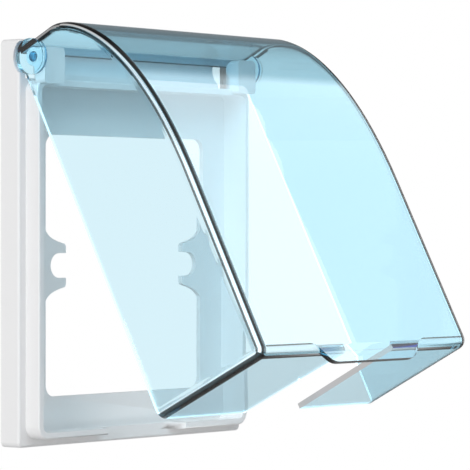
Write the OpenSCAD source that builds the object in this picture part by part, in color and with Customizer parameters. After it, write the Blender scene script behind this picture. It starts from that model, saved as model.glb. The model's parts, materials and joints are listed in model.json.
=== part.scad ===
// Splash-proof cover for a flush socket: a white mounting frame and a clear lid hinged on it.
// Millimetres. X runs to the right, Y into the wall and Z up. The origin is the point on the
// wall plane midway between the two fixing screws.

/* [Wall box] */
// Distance between the two screws of the wall box
screw_pitch = 60.3; // [59:0.1:62]
// Width of the slot that a fixing screw passes
screw_slot = 7.4; // [5:0.1:8]

/* [Frame] */
// Width of the frame
frame_w = 102.3; // [100:0.1:112]
// Lower edge of the frame below the screw line
frame_low = 53.2; // [50:0.1:60]
// Upper edge of the frame above the screw line
frame_high = 66.5; // [65:0.1:74]
// Front of the ledge ahead of the wall
ledge_out = 7.2; // [6.5:0.1:9]
// Corner radius of the frame seen from the front
frame_r = 1.6; // [1:0.1:3]
// Rounding along the front edge of the frame
frame_edge = 0.8; // [0.3:0.1:1]
// Thickness of the frame's outer skirt
skirt = 2.2; // [1.6:0.1:2.6]

/* [Well] */
// Width of the ledge around the well wall
ledge = 2.9; // [2.5:0.1:4]
// Thickness of the well wall
well_wall = 1.9; // [1.4:0.1:2.4]
// Rim of the well ahead of the wall
rim_out = 12.6; // [11:0.1:14]
// Outer corner radius of the well wall
well_r = 4; // [3:0.1:7]
// Rounding along the rim
rim_edge = 0.5; // [0.2:0.1:0.8]
// Height of the hinge head above the well
head_h = 11.7; // [11:0.1:13]
// Front of the carrier plate ahead of the wall
plate_out = 3.8; // [3:0.1:5]
// Thickness of the carrier plate
plate_t = 1.5; // [1.2:0.1:2.4]
// Width of the cable gap in the lower well wall
gap_w = 21.2; // [16:0.1:24]

/* [Opening] */
// Width of the opening in the carrier plate
open_w = 72; // [68:0.5:76]
// Height of the opening
open_h = 78; // [70:0.5:86]
// Corner radius of the opening
open_r = 3.5; // [2:0.1:6]
// Reach of a screw ear into the opening
ear_reach = 8.9; // [7:0.1:10]
// Height of a screw ear at its root
ear_root = 20.8; // [18:0.1:24]
// Height of a screw ear at its tip
ear_tip = 13.2; // [12:0.1:16]
// Rounding of the ear tips
ear_r = 1.2; // [0.6:0.1:1.6]

/* [Hinge] */
// Hinge axis ahead of the wall
axis_out = 11.2; // [10.4:0.1:12.4]
// Hinge axis below the upper edge of the frame
axis_drop = 5.3; // [5:0.1:5.8]
// Radius of the hinge lugs on the lid
lug_r = 5.3; // [4.8:0.1:5.4]
// Thickness of a hinge lug
lug_t = 2.7; // [2.2:0.1:3.2]
// Radius of the hinge pegs
peg_r = 1.5; // [1:0.05:1.7]
// Length of a hinge peg beyond its lug
peg_l = 4.6; // [3:0.1:5]
// Radial clearance of a peg in its bearing
peg_gap = 0.05; // [0.03:0.01:0.1]
// Clearance between lid and frame as they turn
run_gap = 0.25; // [0.2:0.05:0.4]
// Width of a bearing post
post_w = 8.5; // [7.5:0.1:10]
// Front of a bearing post ahead of the hinge axis
post_reach = 4.2; // [3.6:0.1:5]
// Corner radius of a bearing post
post_r = 1.3; // [0.6:0.1:1.8]

/* [Lid] */
// Thickness of the lid's walls
lid_wall = 1.7; // [1.4:0.1:1.8]
// Lid's sides set in from the frame's sides at the wall
lid_inset = 0.2; // [0.1:0.1:0.4]
// Draft of each side between the wall and the front
lid_draft = 1.1; // [0.5:0.1:3]
// Front of the lid ahead of the hinge axis
lid_depth = 37.4; // [34:0.1:44]
// Top of the lid above the hinge axis when closed
lid_top = 4.7; // [4.4:0.1:4.9]
// Lower edge of the closed lid below the frame's lower edge
lid_hang = 0.7; // [0:0.1:2]
// Rounding of the lid's outer edges
lid_edge = 3; // [2:0.1:4]
// Gap between the closed lid's back edge and the ledge
lid_gap = 0.3; // [0.2:0.1:0.6]
// Angle at which the lid stands open
open_angle = 27.5; // [0:0.1:79]

/* [Lid curve] */
// Flat part of the lid's top ahead of the hinge axis
brow_start = 9.7; // [7:0.1:12]
// Pull of the curve along the top
brow_pull = 6.6; // [4:0.1:12]
// Where the curve runs out into the front, below the hinge axis
brow_end = 59.7; // [52:0.1:70]
// Pull of the curve up the front
front_pull = 51.7; // [40:0.1:54]

/* [Cable notch and lip] */
// Width of the cable notch at the lid's back edge
notch_back = 26.4; // [22:0.1:32]
// Width of the cable notch at the lid's front
notch_front = 22.6; // [18:0.1:26]
// Width of the finger lip where it leaves the front
lip_w = 55.4; // [44:0.1:66]
// Width of the finger lip at its lower edge
lip_low_w = 34.4; // [22:0.1:42]
// Drop of the finger lip below the lid
lip_drop = 3.2; // [2:0.1:6]
// Thickness of the finger lip
lip_t = 1.6; // [1.2:0.1:1.7]

/* [Hidden] */
$fn = 48;
through = 60;

frame_h = frame_low + frame_high;
frame_mid = (frame_high - frame_low) / 2;

// Well wall, outside
well_w = frame_w - 2 * ledge;
well_low = -frame_low + ledge - 0.5;
well_high = frame_high - head_h;
well_h = well_high - well_low;
well_mid = (well_high + well_low) / 2;

// Hinge
axis_z = frame_high - axis_drop;
lid_back = axis_out - ledge_out - lid_gap;
turn_r = max(lug_r, norm([lid_back, lid_top])) + run_gap;
knuckle_r = lid_top - lid_wall - run_gap;
lug_face = frame_w / 2 - lid_inset - lug_t;
post_side = lug_face - run_gap;
post_top = axis_z + knuckle_r;
post_low = well_high - well_wall + rim_edge;
post_back = 0.4;
bore_l = peg_l + run_gap;

// Lid
lid_len = axis_z + frame_low + lid_hang;
lid_inner = lid_edge - lid_wall;
steps = 30;

// Point of the lid's outer curve as [ahead of the axis, below the axis]
curve_pts = [[brow_start, -lid_top], [brow_start + brow_pull, -lid_top],
             [lid_depth, brow_end - front_pull], [lid_depth, brow_end]];
function bez(p, t) = pow(1 - t, 3) * p[0] + 3 * pow(1 - t, 2) * t * p[1]
                   + 3 * (1 - t) * t * t * p[2] + pow(t, 3) * p[3];
function slope(p, t) = 3 * pow(1 - t, 2) * (p[1] - p[0]) + 6 * (1 - t) * t * (p[2] - p[1])
                     + 3 * t * t * (p[3] - p[2]);
function inward(v) = [-v[1], v[0]] / norm(v);

// Stations along the lid's rounded edge: [ahead, below, outward ahead, outward below]
function station(p, d) = let (o = -inward(d)) concat(p - lid_edge * o, o);
stations = concat(
    [[-lid_back - lid_edge, -lid_top + lid_edge, 0, -1]],
    [for (i = [0:steps]) station(bez(curve_pts, i / steps), slope(curve_pts, i / steps))],
    [for (a = [0:15:90]) [lid_depth - lid_edge, lid_len - lid_edge, cos(a), sin(a)]],
    [[-lid_back - lid_edge, lid_len - lid_edge, 0, 1]]);

// Half width of the lid at a distance ahead of the axis
function half_w(u) = frame_w / 2 - lid_inset - lid_draft * (u + lid_back) / (lid_depth + lid_back);

// Rectangle with round corners, exact arcs
module round_rect(w, h, r) {
    square([w - 2 * r, h], center = true);
    square([w, h - 2 * r], center = true);
    for (x = [-1, 1], z = [-1, 1])
        translate([x * (w / 2 - r), z * (h / 2 - r)]) circle(r = r);
}

// Section of a slab whose front edges are rounded: w across, d deep, front at the top
module slab_section(w, d, r) {
    translate([-w / 2, 0]) square([w, d - r]);
    translate([-w / 2 + r, 0]) square([w - 2 * r, d]);
    for (x = [-1, 1]) translate([x * (w / 2 - r), d - r]) circle(r = r);
}

// Slab on the wall plane, round corners r and a rounded front edge e, front at y = -d
module soft_slab(w, h, d, r, e) {
    translate([0, 0, -h / 2 + r]) linear_extrude(h - 2 * r) mirror([0, 1]) slab_section(w, d, e);
    rotate([0, 90, 0]) translate([0, 0, -w / 2 + r])
        linear_extrude(w - 2 * r) mirror([0, 1]) slab_section(h, d, e);
    for (x = [-1, 1], z = [-1, 1]) translate([x * (w / 2 - r), 0, z * (h / 2 - r)])
        rotate([90, 0, 0]) rotate_extrude() intersection() {
            slab_section(2 * r, d, e);
            square([r, d]);
        }
}

// Prism along Y between two depths ahead of the wall
module prism(near, far) {
    translate([0, -near, 0]) rotate([90, 0, 0]) linear_extrude(far - near) children();
}

// Screw ear with its open slot, on the left of the opening
module ear() {
    root = -open_w / 2;
    tip = root + ear_reach;
    side = [[root, ear_root / 2], [root + ear_reach / 5, ear_tip / 2 + ear_r],
            [tip - 3 * ear_r, ear_tip / 2 + ear_r / 2], [tip - ear_r, ear_tip / 2]];
    flank = concat([[root - 1, ear_root / 2]], [for (t = [0:0.125:1]) bez(side, t)]);
    difference() {
        union() {
            polygon(concat(flank, [for (i = [len(flank) - 1:-1:0]) [flank[i][0], -flank[i][1]]]));
            for (s = [-1, 1]) {
                translate([tip - ear_r, s * (ear_tip / 2 - ear_r)]) circle(r = ear_r);
                translate([tip - 2 * ear_r, s > 0 ? 0 : -ear_tip / 2 + ear_r])
                    square([2 * ear_r, ear_tip / 2 - ear_r]);
            }
        }
        translate([-screw_pitch / 2, 0]) circle(d = screw_slot);
        translate([-screw_pitch / 2, -screw_slot / 2]) square([ear_reach, screw_slot]);
    }
}

// Carrier plate seen from the front: the opening less its two ears
module opening() {
    difference() {
        round_rect(open_w, open_h, open_r);
        ear();
        mirror([1, 0]) ear();
    }
}

// Bearing post on the right: block ahead of the axis and a knuckle round the peg
module post() {
    block_h = post_top - post_low;
    front = axis_out + post_reach;
    back = axis_out + post_back;
    difference() {
        union() {
            translate([post_side - post_w / 2, 0, (post_top + post_low) / 2])
                prism(back, front) round_rect(post_w, block_h, post_r);
            translate([post_side - bore_l - knuckle_r / 2, -axis_out, axis_z]) rotate([0, 90, 0])
                cylinder(r = knuckle_r, h = bore_l + knuckle_r / 2);
        }
        translate([post_side - bore_l, -axis_out, axis_z]) rotate([0, 90, 0])
            cylinder(r = peg_r + peg_gap, h = bore_l + 1);
    }
}

// Openings behind a post that clear the turning lid
module post_window() {
    inner = post_side - post_w - run_gap;
    translate([inner, -ledge_out - 0.1, well_high + rim_edge / 2])
        cube([frame_w / 2 - skirt - inner - 0.6, ledge_out + 1, post_top - well_high - rim_edge / 2]);
}

module frame() {
    color("white") difference() {
        union() {
            translate([0, 0, frame_mid]) soft_slab(frame_w, frame_h, ledge_out, frame_r, frame_edge);
            translate([0, 0, well_mid]) soft_slab(well_w, well_h, rim_out, well_r, rim_edge);
            post();
            mirror([1, 0, 0]) post();
        }
        // Well, opening and the recess behind the carrier plate
        translate([0, 0, well_mid]) prism(plate_out, rim_out + 1)
            round_rect(well_w - 2 * well_wall, well_h - 2 * well_wall, well_r - well_wall);
        prism(-1, rim_out) opening();
        translate([0, 0, well_mid]) prism(-1, plate_out - plate_t)
            round_rect(frame_w - 2 * skirt, well_h - 2 * well_wall, frame_r);
        // Pocket behind the hinge head
        translate([-frame_w / 2 + skirt, -axis_out + turn_r + well_wall, well_high])
            cube([frame_w - 2 * skirt, through, head_h - skirt]);
        // Trough in which the lid's back edge and lugs turn
        translate([-through, -axis_out, axis_z]) rotate([0, 90, 0]) difference() {
            cylinder(r = turn_r, h = 2 * through);
            for (s = [0, 1]) translate([0, 0, through + (s == 0 ? post_side - post_w : -post_side)])
                translate([-through / 2, -through, 0]) cube([through, through - post_back, post_w]);
            for (s = [0, 1]) translate([0, 0, through + (s == 0 ? post_side - bore_l - knuckle_r / 2
                                                                : -post_side)])
                cylinder(r = knuckle_r, h = bore_l + knuckle_r / 2);
        }
        post_window();
        mirror([1, 0, 0]) post_window();
        // Cable gap
        translate([-gap_w / 2, -rim_out - 1, -frame_low - 1])
            cube([gap_w, rim_out - ledge_out + 1, ledge + well_wall + 1.5]);
    }
}

// Lid's form when closed, with the hinge axis along X: a loft through one rounded section
// at each station, r being the radius of its long edges
module lid_form(r) {
    arc = [0:15:90];
    rings = [for (s = stations) let (w = half_w(s[0]) - lid_edge) concat(
        [for (a = arc) [-w - r * cos(a), -s[0] - r * sin(a) * s[2], -s[1] - r * sin(a) * s[3]]],
        [for (a = arc) let (b = 90 - a)
            [w + r * cos(b), -s[0] - r * sin(b) * s[2], -s[1] - r * sin(b) * s[3]]])];
    n = len(rings[0]);
    m = len(rings);
    back = concat([for (j = [0:n - 1]) j], [for (j = [n - 1:-1:0]) (m - 1) * n + j]);
    polyhedron([for (ring = rings) each ring], concat(
        [for (i = [0:m - 2], j = [0:n - 2]) each [[i * n + j, i * n + j + 1, (i + 1) * n + j],
                                                  [i * n + j + 1, (i + 1) * n + j + 1, (i + 1) * n + j]]],
        [for (i = [1:m - 2]) [0, i * n, (i + 1) * n]],
        [for (i = [1:m - 2]) [n - 1, (i + 1) * n + n - 1, i * n + n - 1]],
        [for (k = [1:len(back) - 2]) [back[0], back[k + 1], back[k]]]));
}

// Finger lip, a tongue that carries the front on below the lid
module finger_lip() {
    pull = (lip_w - lip_low_w) / 4;
    side = [[lip_w / 2, lid_edge], [lip_w / 2 - pull, lid_edge],
            [lip_low_w / 2 + pull, -lip_drop], [lip_low_w / 2, -lip_drop]];
    right = [for (t = [0:0.1:1]) bez(side, t)];
    left = [for (i = [len(right) - 1:-1:0]) [-right[i][0], right[i][1]]];
    translate([0, -lid_depth + lip_t, -lid_len]) rotate([90, 0, 0]) linear_extrude(lip_t)
        polygon(concat([[lip_w / 2, lid_edge + lip_t]], right, left, [[-lip_w / 2, lid_edge + lip_t]]));
}

// Hinge lug with its peg, on the right
module lug() {
    translate([lug_face, 0, 0]) rotate([0, 90, 0]) cylinder(r = lug_r, h = lug_t);
    translate([lug_face - peg_l, 0, 0]) rotate([0, 90, 0]) cylinder(r = peg_r, h = peg_l + lug_t / 2);
}

module lid_closed() {
    difference() {
        union() {
            difference() {
                lid_form(lid_edge);
                lid_form(lid_inner);
                translate([-through, lid_back, -through * 3]) cube([2 * through, through, through * 4]);
            }
            finger_lip();
        }
        // Cable notch
        translate([0, 0, -lid_len - 1]) linear_extrude(lid_edge + 1)
            polygon([[-notch_back / 2, lid_back + 1], [-notch_front / 2, -lid_depth + lid_wall],
                     [notch_front / 2, -lid_depth + lid_wall], [notch_back / 2, lid_back + 1]]);
    }
    lug();
    mirror([1, 0, 0]) lug();
}

module lid() {
    color([0.72, 0.9, 0.96, 0.5])
        translate([0, -axis_out, axis_z]) rotate([-open_angle, 0, 0]) lid_closed();
}

frame();
lid();
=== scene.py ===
"""Splash-proof socket cover: white moulded frame and clear light-blue lid, standing open."""
import json
import math

import bmesh
import bpy
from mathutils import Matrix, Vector


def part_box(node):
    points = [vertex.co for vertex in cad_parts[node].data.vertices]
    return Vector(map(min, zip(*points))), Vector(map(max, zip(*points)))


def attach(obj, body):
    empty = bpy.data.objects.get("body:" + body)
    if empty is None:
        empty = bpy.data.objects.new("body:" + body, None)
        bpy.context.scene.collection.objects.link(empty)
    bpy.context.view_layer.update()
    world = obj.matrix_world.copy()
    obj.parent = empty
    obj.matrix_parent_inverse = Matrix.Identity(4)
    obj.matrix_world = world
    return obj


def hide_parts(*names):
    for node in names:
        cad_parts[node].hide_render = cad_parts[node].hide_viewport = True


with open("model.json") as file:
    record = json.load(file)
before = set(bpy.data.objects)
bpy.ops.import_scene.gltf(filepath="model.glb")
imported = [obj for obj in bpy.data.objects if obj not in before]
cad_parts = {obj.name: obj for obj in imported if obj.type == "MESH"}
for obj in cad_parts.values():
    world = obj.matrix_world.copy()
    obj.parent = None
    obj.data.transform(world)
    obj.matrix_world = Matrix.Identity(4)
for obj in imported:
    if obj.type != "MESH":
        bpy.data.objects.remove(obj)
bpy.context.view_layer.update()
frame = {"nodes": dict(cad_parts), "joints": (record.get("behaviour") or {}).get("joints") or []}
scene = bpy.context.scene

HINGE = frame["joints"][0]
AXIS = Vector(HINGE["pos_m"])
STANDS_OPEN = math.radians(-HINGE["range_deg"][0])

# Sizes of the lid in metres, closed, measured from the hinge axis: ahead of it, below it or across
LID_DEPTH = 0.0374
LID_EDGE = 0.003
LID_BACK = 0.0037
LID_TOP = 0.0047
LID_DRAFT = 0.0011
LID_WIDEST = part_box("lid")[1].x
BROW_START = 0.0097
BROW_PULL = 0.0066
BROW_END = 0.0597
FRONT_PULL = 0.0517
LUG_SIDE = 0.043
LUG_REACH = 0.0056
LUG_FROM = -0.0015
BACK_CUT_AHEAD = -0.003
SIDE_CUT_FROM = 0.004
TOP_CUT_HALF = 0.045
NOTCH_HALF = 0.0145
NOTCH_HEIGHT = 0.002
BACK_SLOPE_TO = 0.01
INNER_BAND_TO = 0.024

# Angles in degrees: faces nearer to one plane than this are joined, and edges flatter than this look smooth
JOINED_BELOW = 0.6
SMOOTH_BELOW = 32

# Block that widens the cable gap in the frame's lower rim: its width at the ledge and at its own front,
# and its reach from front to back and from bottom to top
GAP_AT_LEDGE = 0.0314
GAP_AT_FRONT = 0.0374
GAP_FROM = -0.0140
GAP_TO = -0.007205
GAP_LOW = -0.0545
GAP_HIGH = -0.0480

# Camera
CAMERA_PLACE = Vector((-0.6709, -0.5949, 0.0091))
CAMERA_TURN = 50.76
CAMERA_LENS = 223.4
SENSOR = 36


def place_camera():
    bpy.ops.object.camera_add(location=CAMERA_PLACE)
    camera = bpy.context.object
    camera.name = "photo_camera"
    camera.data.lens = CAMERA_LENS
    camera.data.sensor_width = SENSOR
    camera.data.clip_start = 0.05
    camera.data.clip_end = 20
    camera.rotation_euler = (math.radians(90), 0, math.radians(-CAMERA_TURN))
    scene.camera = camera


# Node groups and materials
def links(tree):
    return lambda a, b: tree.links.new(a, b)


def feed(tree, socket, value):
    """Links a socket into another one, or sets a plain value on it."""
    if isinstance(value, bpy.types.NodeSocket):
        tree.links.new(value, socket)
    else:
        socket.default_value = value


def math_node(tree, operation, *values):
    node = tree.nodes.new("ShaderNodeMath")
    node.operation = operation
    for socket, value in zip(node.inputs, values):
        feed(tree, socket, value)
    return node.outputs["Value"]


def mix_colour(tree, factor, first, second):
    node = tree.nodes.new("ShaderNodeMix")
    node.data_type = "RGBA"
    for label, value in (("Factor", factor), ("A", first), ("B", second)):
        feed(tree, node.inputs[label], value)
    return node.outputs["Result"]


def mesh_mark(tree, name):
    """Value of one of the marks that mark_edges writes on the mesh."""
    node = tree.nodes.new("ShaderNodeAttribute")
    node.attribute_name = name
    return node.outputs["Fac"]


def ramp(tree, along, stops):
    """Grey ramp through (position, value) stops."""
    node = tree.nodes.new("ShaderNodeValToRGB")
    first, last = node.color_ramp.elements[0], node.color_ramp.elements[1]
    first.position, first.color = stops[0][0], (stops[0][1],) * 3 + (1,)
    last.position, last.color = stops[-1][0], (stops[-1][1],) * 3 + (1,)
    for position, value in stops[1:-1]:
        node.color_ramp.elements.new(position).color = (value, value, value, 1)
    tree.links.new(along, node.inputs["Fac"])
    return node.outputs["Color"]


def new_group(name, inputs, outputs):
    """Empty shader group: inputs and outputs are (name, socket type, default)."""
    group = bpy.data.node_groups.new(name, "ShaderNodeTree")
    for label, kind, value in inputs:
        socket = group.interface.new_socket(label, in_out="INPUT", socket_type=kind)
        socket.default_value = value
    for label, kind in outputs:
        group.interface.new_socket(label, in_out="OUTPUT", socket_type=kind)
    return group, group.nodes.new("NodeGroupInput"), group.nodes.new("NodeGroupOutput")


def moulded_skin_group():
    """Skin of a moulding: soft cloudiness in the colour, fine orange peel and slow sink waves."""
    group, given, out = new_group(
        "moulded_skin",
        [("Coordinates", "NodeSocketVector", (0, 0, 0)),
         ("Light", "NodeSocketColor", (1, 1, 1, 1)),
         ("Deep", "NodeSocketColor", (0.9, 0.9, 0.9, 1)),
         ("Smoothest", "NodeSocketFloat", 0.2),
         ("Roughest", "NodeSocketFloat", 0.3),
         ("Cloud Scale", "NodeSocketFloat", 40.0),
         ("Peel Scale", "NodeSocketFloat", 1400.0),
         ("Peel Height", "NodeSocketFloat", 0.2)],
        [("Colour", "NodeSocketColor"), ("Roughness", "NodeSocketFloat"), ("Height", "NodeSocketFloat")])
    link = links(group)
    cloud = group.nodes.new("ShaderNodeTexNoise")
    cloud.inputs["Detail"].default_value = 3
    peel = group.nodes.new("ShaderNodeTexNoise")
    peel.inputs["Detail"].default_value = 2
    link(given.outputs["Coordinates"], cloud.inputs["Vector"])
    link(given.outputs["Cloud Scale"], cloud.inputs["Scale"])
    link(given.outputs["Coordinates"], peel.inputs["Vector"])
    link(given.outputs["Peel Scale"], peel.inputs["Scale"])
    tone = group.nodes.new("ShaderNodeMix")
    tone.data_type = "RGBA"
    link(cloud.outputs["Fac"], tone.inputs["Factor"])
    link(given.outputs["Light"], tone.inputs["A"])
    link(given.outputs["Deep"], tone.inputs["B"])
    link(tone.outputs["Result"], out.inputs["Colour"])
    rough = group.nodes.new("ShaderNodeMapRange")
    link(peel.outputs["Fac"], rough.inputs["Value"])
    link(given.outputs["Smoothest"], rough.inputs["To Min"])
    link(given.outputs["Roughest"], rough.inputs["To Max"])
    link(rough.outputs["Result"], out.inputs["Roughness"])
    raise_peel = group.nodes.new("ShaderNodeMath")
    raise_peel.operation = "MULTIPLY_ADD"
    link(peel.outputs["Fac"], raise_peel.inputs[0])
    link(given.outputs["Peel Height"], raise_peel.inputs[1])
    link(cloud.outputs["Fac"], raise_peel.inputs[2])
    link(raise_peel.outputs["Value"], out.inputs["Height"])
    return group


SKIN = moulded_skin_group()


def skinned_shader(name, light, deep, smoothest, roughest, cloud, peel, peel_height, bump):
    """Material with a Principled BSDF whose skin comes from the moulded_skin group."""
    material = bpy.data.materials.new(name)
    material.use_nodes = True
    tree = material.node_tree
    link = links(tree)
    shader = tree.nodes["Principled BSDF"]
    place = tree.nodes.new("ShaderNodeTexCoord")
    skin = tree.nodes.new("ShaderNodeGroup")
    skin.node_tree = SKIN
    skin.inputs["Light"].default_value = (*light, 1)
    skin.inputs["Deep"].default_value = (*deep, 1)
    skin.inputs["Smoothest"].default_value = smoothest
    skin.inputs["Roughest"].default_value = roughest
    skin.inputs["Cloud Scale"].default_value = cloud
    skin.inputs["Peel Scale"].default_value = peel
    skin.inputs["Peel Height"].default_value = peel_height
    relief = tree.nodes.new("ShaderNodeBump")
    relief.inputs["Strength"].default_value = 1
    relief.inputs["Distance"].default_value = bump
    link(place.outputs["Object"], skin.inputs["Coordinates"])
    link(skin.outputs["Colour"], shader.inputs["Base Color"])
    link(skin.outputs["Roughness"], shader.inputs["Roughness"])
    link(skin.outputs["Height"], relief.inputs["Height"])
    link(relief.outputs["Normal"], shader.inputs["Normal"])
    return material, tree, shader


def frame_plastic():
    material, _, shader = skinned_shader(
        "white_moulded_plastic", light=(0.86, 0.86, 0.865), deep=(0.83, 0.832, 0.838), smoothest=0.26,
        roughest=0.34, cloud=30, peel=1600, peel_height=0.3, bump=0.00003)
    shader.inputs["IOR"].default_value = 1.53
    shader.inputs["Specular IOR Level"].default_value = 0.3
    return material


# A band value is the start of the edge's own stretch plus the degrees round it / BAND_DEGREES
BAND_DEGREES = 300
SIDE_START = 0.01
LOWER_START = 0.34
FRONT_START = 0.67
FLAT_START = 0.50
# Band value at which a flat face takes the painted shade
FLAT_PAINTED_SHADE = FLAT_START + 30 / BAND_DEGREES

# Painted shade and painted glow on each edge, by degrees round it: how dark the base colour is made, and
# how much emission lights it, in place of the dark and light lines of refraction
PAINTED_SHADE_BANDS = (
    (SIDE_START, ((22, 0), (24, 0.98), (34, 0.98), (37, 0),
                  (54, 0), (57, 1), (69, 1), (73, 0.95), (83, 0.93), (87, 0))),
    (LOWER_START, ((28, 0), (31, 0.985), (58, 0.985), (62, 0))),
    (FRONT_START, ((0, 0), (1, 0.97), (9, 0.97), (12, 0))))
PAINTED_GLOW_BANDS = (
    (SIDE_START, ((37, 0), (40, 0.5), (50, 0.5), (54, 0))),
    (LOWER_START, ((20, 0), (23, 0.3), (27, 0.3), (29, 0))))
BACK_PAINTED_SHADE_BANDS = (
    (SIDE_START, ((0, 0.99), (19, 1), (23, 0), (46, 0), (50, 0.9), (72, 0.9), (76, 0))),
    (FLAT_START, ((0, 0), (3, 0.9), (60, 0.9), (63, 0))))
BACK_PAINTED_GLOW_BANDS = ((SIDE_START, ((23, 0), (26, 0.3), (42, 0.3), (46, 0))),)

# The lid's tint in its depth, the colour of the painted shade on its edges, and the light that it passes to
# what lies behind
TINT = (0.02, 0.70, 0.90, 1)
TINT_DENSITY = 205
PAINTED_EDGE_SHADE = (0.0004, 0.0006, 0.0007, 1)
PASSED_LIGHT = (0.94, 0.82, 0.79, 1)

# Painted glow (emission, where there is no lamp) of each cut face, and how much more of it the notch and
# the rounding above the finger lip have
PAINTED_CUT_GLOW = 0.13
PAINTED_NOTCH_GLOW = 3.5
PAINTED_LIP_GLOW = 2.5
LIP_REACH = 0.026
LIP_ARC_FROM = 0.0015


def band_ramp(tree, mark, bands):
    stops = [(start + turn / BAND_DEGREES, value) for start, turns in bands for turn, value in turns]
    return ramp(tree, mesh_mark(tree, mark), [(0, 0)] + stops + [(1, 0)])


# Painted shade: how dark the base colour is made along the edge bands
def painted_edge_shade(tree):
    return math_node(tree, "MAXIMUM", band_ramp(tree, "edge_band", PAINTED_SHADE_BANDS),
                     band_ramp(tree, "back_band", BACK_PAINTED_SHADE_BANDS))


# Painted glow: emission along the light bands and on the marked cut faces, though no lamp is there
def painted_edge_glow(tree):
    gathered = math_node(tree, "MAXIMUM", band_ramp(tree, "edge_band", PAINTED_GLOW_BANDS),
                         band_ramp(tree, "back_band", BACK_PAINTED_GLOW_BANDS))
    return math_node(tree, "MULTIPLY_ADD", mesh_mark(tree, "cut_edge"), PAINTED_CUT_GLOW, gathered)


def pass_light_to_shadow(tree, shader, out):
    """Shadow rays meet a plain transparent surface, so that light reaches what lies behind."""
    clear = tree.nodes.new("ShaderNodeBsdfTransparent")
    clear.inputs["Color"].default_value = PASSED_LIGHT
    path = tree.nodes.new("ShaderNodeLightPath")
    pick = tree.nodes.new("ShaderNodeMixShader")
    tree.links.new(path.outputs["Is Shadow Ray"], pick.inputs["Fac"])
    tree.links.new(shader.outputs["BSDF"], pick.inputs[1])
    tree.links.new(clear.outputs["BSDF"], pick.inputs[2])
    tree.links.new(pick.outputs["Shader"], out.inputs["Surface"])


def lid_plastic():
    """Clear plastic tinted in its depth, with bands of painted shade in its colour and painted glow in its
    emission laid round its rounded edges.
    """
    material, tree, shader = skinned_shader(
        "clear_blue_plastic", light=(1, 1, 1), deep=(0.99, 0.996, 1), smoothest=0.0, roughest=0.01,
        cloud=12, peel=500, peel_height=0.05, bump=0.000004)
    shader.inputs["Transmission Weight"].default_value = 1
    shader.inputs["IOR"].default_value = 1.5
    skin_colour = shader.inputs["Base Color"].links[0].from_socket
    # Painted shade: the base colour goes dark along the edge bands
    feed(tree, shader.inputs["Base Color"], mix_colour(tree, painted_edge_shade(tree), skin_colour, PAINTED_EDGE_SHADE))
    # Painted glow: emission on the light bands, the cut faces, the notch and the rounding above the finger
    # lip
    feed(tree, shader.inputs["Emission Color"], painted_edge_glow(tree))
    shader.inputs["Emission Strength"].default_value = 1
    depth = tree.nodes.new("ShaderNodeVolumeAbsorption")
    depth.inputs["Color"].default_value = TINT
    depth.inputs["Density"].default_value = TINT_DENSITY
    out = tree.nodes["Material Output"]
    tree.links.new(depth.outputs["Volume"], out.inputs["Volume"])
    pass_light_to_shadow(tree, shader, out)
    return material


# Pieces
def deselect():
    bpy.ops.object.select_all(action="DESELECT")


def on_lug(point):
    return abs(point.x) > LUG_SIDE and math.hypot(point.y - AXIS.y, point.z - AXIS.z) < LUG_REACH


def closed_turn(way):
    """A direction of the lid as [sideways, ahead, below] with the lid closed."""
    c, s = math.cos(STANDS_OPEN), math.sin(STANDS_OPEN)
    return way.x, -way.y * c + way.z * s, -way.y * s - way.z * c


def open_turn(sideways, ahead, below):
    """The same turned back: a direction of the closed lid as it stands open."""
    c, s = math.cos(STANDS_OPEN), math.sin(STANDS_OPEN)
    return Vector((sideways, -ahead * c - below * s, ahead * s - below * c))


def on_top_back_edge(point):
    _, ahead, below = closed_turn(point - AXIS)
    return abs(ahead + LID_BACK) < 0.00003 and below < 0


def merged_copy(node, name):
    """Copy of a CAD node's mesh with its doubles merged and its flat faces whole."""
    mesh = frame["nodes"][node].data.copy()
    piece = bpy.data.objects.new(name, mesh)
    scene.collection.objects.link(piece)
    mesh.materials.clear()
    shape = bmesh.new()
    shape.from_mesh(mesh)
    bmesh.ops.remove_doubles(shape, verts=shape.verts, dist=2e-6)
    bmesh.ops.dissolve_degenerate(shape, edges=shape.edges, dist=1e-6)
    kept = {vert for vert in shape.verts if on_lug(vert.co) or on_top_back_edge(vert.co)}
    bmesh.ops.dissolve_limit(shape, angle_limit=math.radians(JOINED_BELOW),
                             verts=[vert for vert in shape.verts if vert not in kept],
                             edges=[edge for edge in shape.edges if not kept.issuperset(edge.verts)])
    bmesh.ops.recalc_face_normals(shape, faces=shape.faces)
    shape.to_mesh(mesh)
    shape.free()
    return piece


def smooth(piece):
    deselect()
    piece.select_set(True)
    bpy.context.view_layer.objects.active = piece
    bpy.ops.object.shade_smooth_by_angle(angle=math.radians(SMOOTH_BELOW))
    for edge in piece.data.edges:
        if all(on_lug(piece.data.vertices[end].co) for end in edge.vertices):
            edge.use_edge_sharp = True
    weighted = piece.modifiers.new("flat_faces_lead", "WEIGHTED_NORMAL")
    weighted.mode = "FACE_AREA"
    weighted.weight = 100
    weighted.keep_sharp = True
    bpy.ops.object.modifier_apply(modifier=weighted.name)


def arc_turn(inset):
    """Degrees round a rounded edge at a distance in from the side where it starts."""
    return math.degrees(math.acos(max(-1, min(1, 1 - inset / LID_EDGE))))


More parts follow.
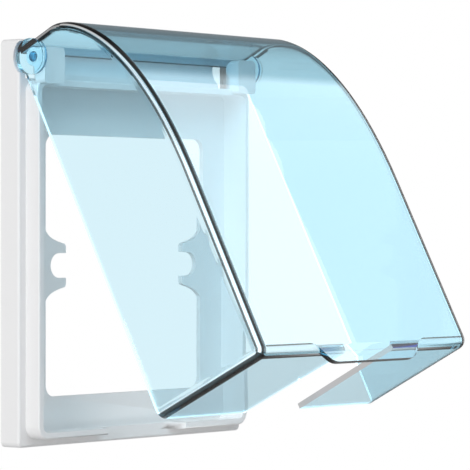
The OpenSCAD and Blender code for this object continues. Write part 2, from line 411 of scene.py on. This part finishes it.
def mark_edges(piece):
    """Writes edge_band on the corners of the faces of the lid's rounded outer edges: how far round the edge
    each lies. back_band does so where the lid's top slopes back, on the rounding inside it and on its
    back edge; cut_edge marks cut faces and the rounding above the finger lip."""
    # These marks place the lid's painted shade (dark edge bands) and painted glow (emission)
    mesh = piece.data
    for name in ("edge_band", "back_band", "cut_edge"):
        mesh.attributes.new(name, "FLOAT", "CORNER")
    band, back, cut = (mesh.attributes[name].data for name in ("edge_band", "back_band", "cut_edge"))
    lid_len = max(closed_turn(vertex.co - AXIS)[2] for vertex in mesh.vertices if abs(vertex.co.x) > 0.03)
    for face in mesh.polygons:
        sideways, ahead_way, below_way = closed_turn(face.normal)
        middle = closed_turn(face.center - AXIS)
        outward = sideways * middle[0] > 0
        near_side = lid_half_width(middle[1]) - abs(middle[0]) < LID_EDGE
        at_bottom = middle[2] > lid_len - LID_EDGE
        if middle[2] > LUG_FROM and math.hypot(middle[1], middle[2]) < LUG_REACH:
            continue
        for corner in face.loop_indices:
            x, ahead, below = closed_turn(mesh.vertices[mesh.loops[corner].vertex_index].co - AXIS)
            if ahead_way < -0.99 and middle[1] < BACK_CUT_AHEAD:
                cut[corner].value = 1 if below > SIDE_CUT_FROM else 0
                if middle[2] < 0 and abs(middle[0]) < TOP_CUT_HALF:
                    back[corner].value = FLAT_PAINTED_SHADE
            elif abs(sideways) > 0.9 and abs(x) < NOTCH_HALF and below > lid_len - NOTCH_HEIGHT:
                cut[corner].value = PAINTED_NOTCH_GLOW
                back[corner].value = FLAT_PAINTED_SHADE
            elif outward and 0.05 < abs(sideways) < 0.995 and near_side:
                start = LOWER_START if below_way > ahead_way and at_bottom else SIDE_START
                target = back if face.normal.y > 0.02 and middle[2] < BACK_SLOPE_TO else band
                target[corner].value = start + arc_turn(lid_half_width(ahead) - abs(x)) / BAND_DEGREES
            elif not outward and 0.86 < abs(sideways) < 0.97 and middle[2] < INNER_BAND_TO and near_side:
                back[corner].value = FLAT_PAINTED_SHADE
            elif abs(sideways) < 0.05 and ahead_way > 0.05 and below_way > 0.05 and at_bottom:
                band[corner].value = FRONT_START + arc_turn(LID_DEPTH - ahead) / BAND_DEGREES
                if max(abs(middle[0]), abs(x)) < LIP_REACH and middle[1] < LID_DEPTH - LIP_ARC_FROM:
                    cut[corner].value = PAINTED_LIP_GLOW


def lid_half_width(ahead):
    """Half the lid's width at its outer side, which leans in towards the front."""
    return LID_WIDEST - LID_DRAFT * (ahead + LID_BACK) / (LID_DEPTH + LID_BACK)


def gap_cutter():
    """Block as wide as the cable gap at the ledge, with its front face resized to its own width."""
    deselect()
    middle = (0, (GAP_FROM + GAP_TO) / 2, (GAP_LOW + GAP_HIGH) / 2)
    bpy.ops.mesh.primitive_cube_add(size=1, location=middle)
    cutter = bpy.context.object
    cutter.scale = (GAP_AT_LEDGE, GAP_TO - GAP_FROM, GAP_HIGH - GAP_LOW)
    bpy.ops.object.transform_apply(location=True, rotation=False, scale=True)
    bpy.ops.object.mode_set(mode="EDIT")
    bpy.ops.mesh.select_mode(type="FACE")
    bpy.ops.mesh.select_all(action="DESELECT")
    shape = bmesh.from_edit_mesh(cutter.data)
    for face in shape.faces:
        face.select_set(face.normal.y < -0.9)
    bmesh.update_edit_mesh(cutter.data)
    bpy.ops.transform.resize(value=(GAP_AT_FRONT / GAP_AT_LEDGE, 1, 1))
    bpy.ops.object.mode_set(mode="OBJECT")
    return cutter


def widen_cable_gap(piece):
    """Carries the ends of the cable gap in the lower rim out in ramps."""
    cutter = gap_cutter()
    cut = piece.modifiers.new("wider_gap", "BOOLEAN")
    cut.object = cutter
    cut.operation = "DIFFERENCE"
    cut.solver = "EXACT"
    deselect()
    piece.select_set(True)
    bpy.context.view_layer.objects.active = piece
    bpy.ops.object.modifier_apply(modifier=cut.name)
    bpy.data.objects.remove(cutter)


place_camera()

moulding = merged_copy("frame", "moulded_frame")
widen_cable_gap(moulding)
moulding.data.materials.append(frame_plastic())
smooth(moulding)
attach(moulding, "frame_body")
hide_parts("frame")

cover = merged_copy("lid", "clear_lid")
cover.data.materials.append(lid_plastic())
mark_edges(cover)
smooth(cover)
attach(cover, "lid_body")
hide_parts("lid")


# Floor, light and background
FLOOR_RADIUS = 1.1
FLOOR_HEIGHT = -0.32


def plain_floor():
    bpy.ops.mesh.primitive_circle_add(vertices=96, radius=FLOOR_RADIUS, fill_type="NGON",
                                      location=(0, 0, FLOOR_HEIGHT))
    floor = bpy.context.object
    floor.name = "floor"
    material = bpy.data.materials.new("pale_floor")
    material.use_nodes = True
    material.node_tree.nodes["Principled BSDF"].inputs["Base Color"].default_value = (0.9, 0.9, 0.9, 1)
    material.node_tree.nodes["Principled BSDF"].inputs["Roughness"].default_value = 0.8
    floor.data.materials.append(material)


def soft_lamp(name, place, side, power):
    """Square lamp aimed at the object and not mirrored in it."""
    bpy.ops.object.light_add(type="AREA", location=place)
    lamp = bpy.context.object
    lamp.name = name
    lamp.data.shape = "SQUARE"
    lamp.data.size = side
    lamp.data.energy = power
    lamp.rotation_euler = (-Vector(place)).to_track_quat("-Z", "Y").to_euler()
    lamp.visible_camera = False
    lamp.visible_glossy = False


WHITE = (1, 1, 1, 1)
DOME_GREY = (0.28, 0.28, 0.28, 1)
DOME_BEHIND = ((0, 1.0), (0.54, 1.0), (0.60, 0.30), (1, 0.12))
DOME_AHEAD = ((0, 1.0), (0.80, 1.0), (0.92, 0.35), (1, 0.2))
AHEAD_GAIN = 0.9


def zero_to_one(tree, value, low, high):
    node = tree.nodes.new("ShaderNodeMapRange")
    tree.links.new(value, node.inputs["Value"])
    node.inputs["From Min"].default_value = low
    node.inputs["From Max"].default_value = high
    return node.outputs["Result"]


def studio_world():
    """White to the camera and an even dome for the light. Gloss and clear plastic see a white horizon,
    a dark ceiling behind the object and a bright one in front."""
    world = bpy.data.worlds.new("studio")
    world.use_nodes = True
    scene.world = world
    tree = world.node_tree
    background = tree.nodes["Background"]
    where = tree.nodes.new("ShaderNodeTexCoord")
    split = tree.nodes.new("ShaderNodeSeparateXYZ")
    path = tree.nodes.new("ShaderNodeLightPath")
    tree.links.new(where.outputs["Generated"], split.inputs["Vector"])
    height = zero_to_one(tree, split.outputs["Z"], -1, 1)
    ahead = zero_to_one(tree, split.outputs["Y"], 0.08, 0.02)
    dome = mix_colour(tree, ahead, ramp(tree, height, DOME_BEHIND), ramp(tree, height, DOME_AHEAD))
    sharp = math_node(tree, "MAXIMUM", path.outputs["Is Glossy Ray"], path.outputs["Is Transmission Ray"])
    not_bounced = math_node(tree, "LESS_THAN", path.outputs["Diffuse Depth"], 0.5)
    lit = mix_colour(tree, math_node(tree, "MULTIPLY", sharp, not_bounced), DOME_GREY, dome)
    seen = mix_colour(tree, path.outputs["Is Camera Ray"], lit, WHITE)
    ahead_gloss = math_node(tree, "MULTIPLY", ahead, path.outputs["Is Glossy Ray"])
    feed(tree, background.inputs["Color"], seen)
    feed(tree, background.inputs["Strength"], math_node(tree, "MULTIPLY_ADD", ahead_gloss, AHEAD_GAIN, 1))


# Edge of the slanting highlight on the lid's front, in pixels of the photograph
PHOTO_SIDE = 470
HIGHLIGHT_TOP = (248.5, 98)
HIGHLIGHT_BEND = (318, 255)
HIGHLIGHT_FOOT = (356.4, 343)

# The card hangs this far from the lid. It reaches this many times as far as the mirrored lid's left side.
CARD_AWAY = 1.0
CARD_WIDTHS = 2.2
CARD_SIDE = -0.047
CARD_LIGHT = 3.4
# Places up the lid's front that the card is mirrored from: below 1 on its curve, above 1 on its flat part
CARD_PLACES = (2.5, 1.95, 1.5, 1.0, 0.9, 0.8, 0.74)
FLAT_LENGTH = 0.056


def sight(pixel):
    """Direction from the camera through a pixel of the photograph."""
    turn = math.radians(CAMERA_TURN)
    onward = Vector((math.sin(turn), math.cos(turn), 0))
    right = Vector((math.cos(turn), -math.sin(turn), 0))
    across, down = (value - PHOTO_SIDE / 2 for value in pixel)
    return onward * CAMERA_LENS / SENSOR * PHOTO_SIDE + right * across - Vector((0, 0, 1)) * down


def front_of_lid(place):
    """Point in the middle of the lid's outer front and the direction square to it, with the lid open."""
    if place > 1:
        return AXIS + open_turn(0, LID_DEPTH, BROW_END + (place - 1) * FLAT_LENGTH), open_turn(0, 1, 0)
    top = Vector((BROW_START, -LID_TOP))
    top_pull = Vector((BROW_START + BROW_PULL, -LID_TOP))
    end_pull = Vector((LID_DEPTH, BROW_END - FRONT_PULL))
    end = Vector((LID_DEPTH, BROW_END))
    rest = 1 - place
    point = (rest ** 3 * top + 3 * rest ** 2 * place * top_pull
             + 3 * rest * place ** 2 * end_pull + place ** 3 * end)
    slope = (rest ** 2 * (top_pull - top) + 2 * rest * place * (end_pull - top_pull)
             + place ** 2 * (end - end_pull))
    slope.normalize()
    return AXIS + open_turn(0, *point), open_turn(0, slope.y, -slope.x)


def mirrored(point, square):
    """Where the camera's ray to a point on the lid's front lies once mirrored there."""
    ray = (point - CAMERA_PLACE).normalized()
    return point + CARD_AWAY * (ray - 2 * ray.dot(square) * square)


def card_ends(place):
    """Near and far end of the card at a place up the lid's front."""
    point, square = front_of_lid(place)
    upper, lower = (HIGHLIGHT_TOP, HIGHLIGHT_BEND) if place <= 1 else (HIGHLIGHT_BEND, HIGHLIGHT_FOOT)
    plane = sight(upper).cross(sight(lower))
    on_edge = Vector((-plane.dot(point - CAMERA_PLACE) / plane.x, 0, 0))
    near = mirrored(point + on_edge, square)
    far = mirrored(point + Vector((CARD_SIDE, 0, 0)), square)
    return near, near + (far - near) * CARD_WIDTHS


def window_card():
    """Bright bent card to the right of the camera, mirrored by the left half of the lid's front."""
    deselect()
    bpy.ops.mesh.primitive_grid_add(x_subdivisions=1, y_subdivisions=len(CARD_PLACES) - 1, size=1)
    card = bpy.context.object
    card.name = "window_card"
    for row, place in enumerate(CARD_PLACES):
        for vertex, end in zip(card.data.vertices[2 * row:2 * row + 2], card_ends(place)):
            vertex.co = end
    material = bpy.data.materials.new("card_light")
    material.use_nodes = True
    shader = material.node_tree.nodes["Principled BSDF"]
    shader.inputs["Base Color"].default_value = (0, 0, 0, 1)
    shader.inputs["Emission Color"].default_value = (1, 1, 1, 1)
    shader.inputs["Emission Strength"].default_value = CARD_LIGHT
    card.data.materials.append(material)
    card.visible_camera = False
    card.visible_diffuse = False
    card.visible_transmission = False
    card.visible_shadow = False


plain_floor()
studio_world()
window_card()
soft_lamp("left_lamp", place=(-2.6, -0.45, 0.7), side=1.4, power=41)
soft_lamp("high_lamp", place=(-0.4, -1.1, 1.4), side=1.0, power=10)

scene.view_settings.view_transform = "Standard"
